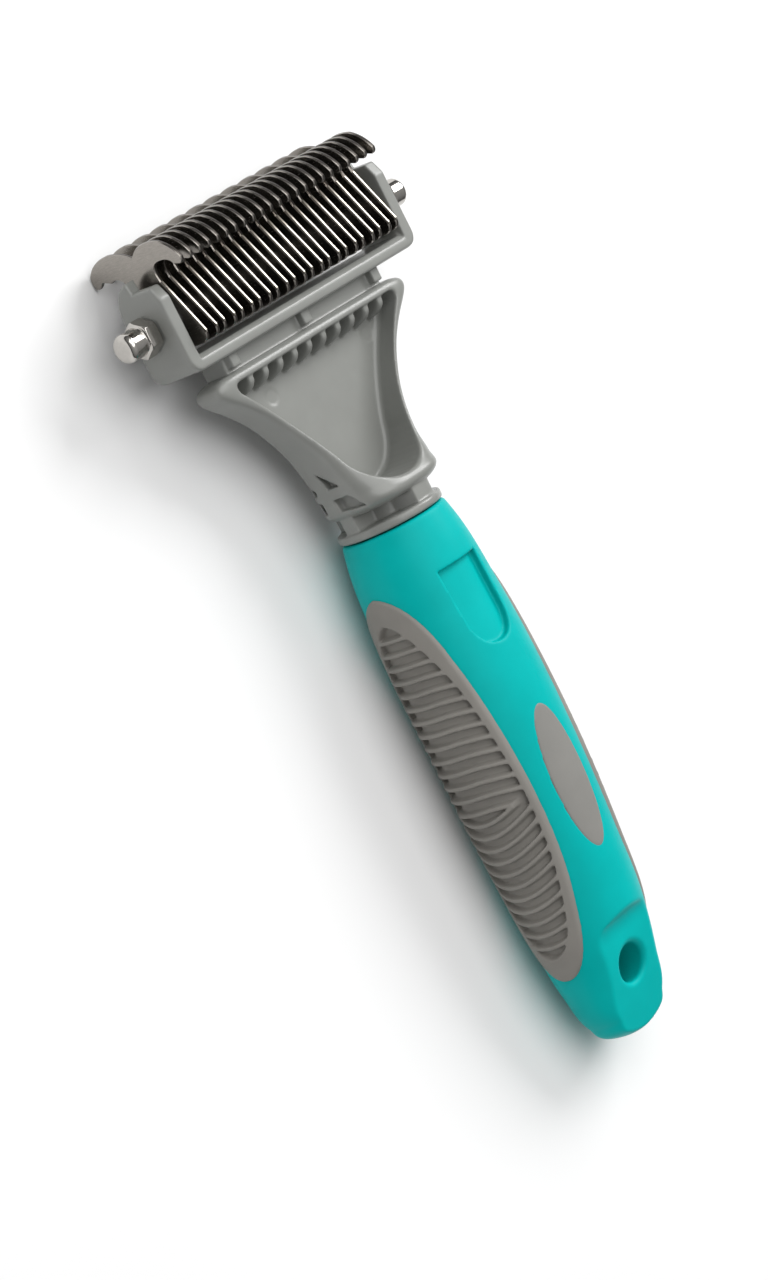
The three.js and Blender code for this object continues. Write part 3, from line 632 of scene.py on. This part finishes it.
def blade_mesh(name, x_middle, coarse):
    """A flat blade with bevelled edges: thin sharp ones where it is ground."""
    ring = np.array(blade_outline(coarse))
    count = len(ring)
    ground = (ring[:, 0] > -4.5) & (ring[:, 0] < 8.4) & (ring[:, 1] > 3)
    amounts = np.where(ground, 0.25, 0.12)
    if not coarse:
        near = np.hypot(ring[:, 0] - 11.4, ring[:, 1] - 6.2)
        amounts += 0.6 * (near < 3.0)
    inner = offset_inward(ring, amounts)
    half = BLADE_THICKNESS / 2
    levels = [(-half, inner), (-half + EDGE_BEVEL, ring), (half - EDGE_BEVEL, ring), (half, inner)]
    points, faces, slots = [], [], []
    for x, outline in levels:
        points += [(x_middle + x, BOLT_Y + y, z) for y, z in outline]
    angles = np.arange(BORE_SIDES) * math.tau / BORE_SIDES
    bore = [(BORE_RADIUS * math.cos(a), BORE_RADIUS * math.sin(a)) for a in angles]
    bore_start = len(points)
    for x in (-half, half):
        points += [(x_middle + x, BOLT_Y + y, z) for y, z in bore]
    for level in range(3):
        for i in range(count):
            j = (i + 1) % count
            a, b = level * count + i, level * count + j
            faces.append((a, b, b + count, a + count))
            sharp = ground[i] and ground[j]
            # Slot 2, the darkened steel, puts painted shade on the side walls and on the bevels that are
            # not ground.
            slots.append((1 if level == 1 else 2) if sharp else (0 if level == 0 else 2))
    for k in range(BORE_SIDES):
        a, b = bore_start + k, bore_start + (k + 1) % BORE_SIDES
        faces.append((a, a + BORE_SIDES, b + BORE_SIDES, b))
        slots.append(2)
    flat = [[Vector((y, z, 0)) for y, z in inner], [Vector((y, z, 0)) for y, z in bore]]
    for triangle in tessellate_polygon(flat):
        for level, hole in ((0, bore_start), (3, bore_start + BORE_SIDES)):
            corners = [level * count + i if i < count else hole + i - count for i in triangle]
            faces.append(tuple(corners))
            slots.append(0)
    obj = mesh_object(name, points, faces)
    for material in (BLADE_STEEL, EDGE_STEEL, SHADED_WALL_STEEL):
        obj.data.materials.append(material)
    obj.data.polygons.foreach_set("material_index", slots)
    return obj


def fix_normals(obj):
    """Turns all faces out and keeps the folds between them crisp."""
    work = bmesh.new()
    work.from_mesh(obj.data)
    bmesh.ops.recalc_face_normals(work, faces=work.faces)
    for edge in work.edges:
        if len(edge.link_faces) == 2 and edge.calc_face_angle() > 0.45:
            edge.smooth = False
    work.to_mesh(obj.data)
    work.free()
    return obj


for i in range(BLADE_COUNT):
    x_middle = (i - (BLADE_COUNT - 1) / 2) * BLADE_PITCH
    coarse = i % 2 == 0
    kind = "coarse" if coarse else "fine"
    blade = fix_normals(blade_mesh(f"{kind}_hook_blade_{i + 1:02d}", x_middle, coarse))
    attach(blade, BLADE_BODY)
    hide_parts(f"{kind}_blade_{i + 1:02d}")

# ---------------------------------------------------------------- bolt, spacers and cap nuts


def turned(name, profile, segments=40):
    """A solid turned about the bolt, from an open profile of (radius, x) ending on the axis, or a
    closed one for a ring."""
    ring = profile[0] == profile[-1]
    rows = profile[:-1] if ring else profile
    points, faces = [], []
    for radius, x in rows:
        for k in range(segments):
            a = math.tau * k / segments
            points.append((x, BOLT_Y + radius * math.cos(a), radius * math.sin(a)))
    pairs = len(rows) if ring else len(rows) - 1
    for row in range(pairs):
        below = (row + 1) % len(rows)
        for k in range(segments):
            n = (k + 1) % segments
            near, far = row * segments, below * segments
            faces.append((near + k, near + n, far + n, far + k))
    if not ring:
        faces.append(tuple(range(segments))[::-1])
        faces.append(tuple((len(rows) - 1) * segments + k for k in range(segments)))
    return fix_normals(mesh_object(name, points, faces))


SPACER_RADIUS, SPACER_CHAMFER = 4.0, 0.15


def spacer(name, low, high):
    face = SPACER_RADIUS - SPACER_CHAMFER
    return turned(name, [
        (BORE_RADIUS, low), (face, low), (SPACER_RADIUS, low + SPACER_CHAMFER),
        (SPACER_RADIUS, high - SPACER_CHAMFER), (face, high), (BORE_RADIUS, high), (BORE_RADIUS, low),
    ])


def spacer_piece(name, low, high, node):
    piece(spacer(name, low, high), BLADE_BODY, "zinc_steel", ZINC, node)


clear_of_blade = BLADE_THICKNESS / 2 + 0.1
for i in range(BLADE_COUNT - 1):
    x_middle = (i - (BLADE_COUNT - 1) / 2) * BLADE_PITCH
    low, high = x_middle + clear_of_blade, x_middle + BLADE_PITCH - clear_of_blade
    spacer_piece(f"spacer_ring_{i + 1:02d}", low, high, f"spacer_{i + 1:02d}")
pack_half = (BLADE_COUNT - 1) / 2 * BLADE_PITCH + clear_of_blade
spacer_piece("end_ring_left", -EAR_INSIDE + 0.3, -pack_half, "end_spacer_left")
spacer_piece("end_ring_right", pack_half, EAR_INSIDE - 0.3, "end_spacer_right")

BOLT_END = 40.7
BOLT = [
    (0.4, -BOLT_END), (1.5, -BOLT_END), (2.0, -BOLT_END + 0.5),
    (2.0, BOLT_END - 0.5), (1.5, BOLT_END), (0.4, BOLT_END),
]
piece(turned("pivot_bolt", BOLT), BLADE_BODY, "zinc_steel", ZINC, "blade_bolt")

NUT_SEAT, NUT_LENGTH, NUT_HALF_FLATS, NUT_HEX_HEIGHT, NUT_DOME_RADIUS = 35.8, 7.9, 3.5, 3.4, 3.0


def nut_mesh(name, side):
    """A hexagon chamfered at both ends, with a rounded dome on its outer side."""
    low, high = sorted((side * (NUT_SEAT - 0.4), side * (NUT_SEAT + NUT_LENGTH + 0.4)))
    grid = Block((low, BOLT_Y - 4.6, -4.6), (high, BOLT_Y + 4.6, 4.6), 0.12)
    along = side * grid.x - NUT_SEAT
    y, z = grid.y - BOLT_Y, grid.z
    radius = np.sqrt(y**2 + z**2)
    hexagon = np.full(radius.shape, -9.0, np.float32)
    for k in range(3):
        a = math.radians(30 + 60 * k)
        flats = np.abs(math.cos(a) * y + math.sin(a) * z) - NUT_HALF_FLATS
        hexagon = np.maximum(hexagon, flats)
    hexagon = np.broadcast_to(hexagon, grid.shape)
    hexagon = rounded_common(hexagon, slab(along, 0.0, NUT_HEX_HEIGHT), 0.12)
    cone = (radius - 3.55 + (along - NUT_HEX_HEIGHT) * 1.5) * 0.55
    foot = (radius - 3.7 - along * 1.6) * 0.53
    hexagon = rounded_common(rounded_common(hexagon, cone, 0.15), foot, 0.15)
    dome = np.broadcast_to(radius - NUT_DOME_RADIUS, grid.shape)
    dome = rounded_common(dome, slab(along, 1.0, NUT_LENGTH), 1.25)
    return skin(name, rounded_union(hexagon, dome, 0.25), grid)


for side, name in ((-1, "left"), (1, "right")):
    nut = nut_mesh(f"domed_nut_{name}", side)
    piece(nut, f"nut_{name}", "polished_steel", CHROME, f"cap_nut_{name}")

# ---------------------------------------------------------------- floor, light and camera

COLLAR = ORIGIN * MM
# The camera looks at the comb's front, turned to its left side, tipped up and rolled.
TURN, TIP, ROLL = math.radians(44.0), math.radians(7.2), math.radians(26.8)
DISTANCE = 0.9
LENS = 126.56
FLOOR_HALF_SIZE = 3.0


def view_axes():
    level = math.cos(TIP)
    back = Vector((-math.sin(TURN) * level, math.sin(TIP), math.cos(TURN) * level))
    right = Vector((math.cos(TURN), 0, math.sin(TURN)))
    up = back.cross(right)
    rolled_right = right * math.cos(ROLL) - up * math.sin(ROLL)
    rolled_up = right * math.sin(ROLL) + up * math.cos(ROLL)
    return back, rolled_right, rolled_up


back, right, up = view_axes()
location = COLLAR + DISTANCE * back
aim = COLLAR - 0.00167 * right - 0.02364 * up
back = (location - aim).normalized()
right = up.cross(back).normalized()
up = back.cross(right)
camera_data = bpy.data.cameras.new("camera")
camera_data.lens = LENS
camera_data.sensor_width = 36.0
camera = bpy.data.objects.new("camera", camera_data)
facing = Matrix((right, up, back)).transposed().to_4x4()
camera.matrix_world = Matrix.Translation(location) @ facing
bpy.context.scene.collection.objects.link(camera)
bpy.context.scene.camera = camera


def floor_object():
    mesh = bpy.data.meshes.new("floor")
    signs = ((-1, -1), (1, -1), (1, 1), (-1, 1))
    corners = [(a * FLOOR_HALF_SIZE, b * FLOOR_HALF_SIZE, 0) for a, b in signs]
    mesh.from_pydata(corners, [], [(0, 1, 2, 3)])
    obj = bpy.data.objects.new("floor", mesh)
    bpy.context.scene.collection.objects.link(obj)
    material, tree, shader, place = new_material("floor_paper")
    stops = [(0.3, (0.86, 0.86, 0.86)), (0.7, (0.88, 0.88, 0.88))]
    paper = colour_ramp(tree, noise(tree, place, 6.0, 2.0), stops)
    tree.links.new(paper, shader.inputs["Base Color"])
    shader.inputs["Roughness"].default_value = 0.9
    mesh.materials.append(material)


def softbox(name, position, size, power):
    light = bpy.data.lights.new(name, "AREA")
    light.shape = "RECTANGLE"
    light.size, light.size_y = size
    light.energy = power
    obj = bpy.data.objects.new(name, light)
    obj.location = position
    aim_at = Vector((0, 0, 0.01)) - Vector(position)
    obj.rotation_euler = aim_at.to_track_quat("-Z", "Y").to_euler()
    bpy.context.scene.collection.objects.link(obj)


floor_object()
softbox("key", (1.1, 0.67, 0.94), (1.0, 0.7), 18.0)
softbox("overhead", (-0.2, 0.6, 1.4), (1.6, 1.6), 16.0)

world = bpy.data.worlds.new("studio")
bpy.context.scene.world = world
world.use_nodes = True
tree = world.node_tree
background = tree.nodes["Background"]
background.inputs["Strength"].default_value = 0.6
direction = tree.nodes.new("ShaderNodeTexCoord")
split = tree.nodes.new("ShaderNodeSeparateXYZ")
tree.links.new(direction.outputs["Generated"], split.inputs["Vector"])
tones = [(0.05, (0.12, 0.12, 0.12)), (0.45, (0.5, 0.5, 0.5)), (1.0, (0.9, 0.9, 0.9))]
sky = colour_ramp(tree, split.outputs["Z"], tones)
tree.links.new(sky, background.inputs["Color"])
bpy.context.scene.view_settings.view_transform = "Standard"
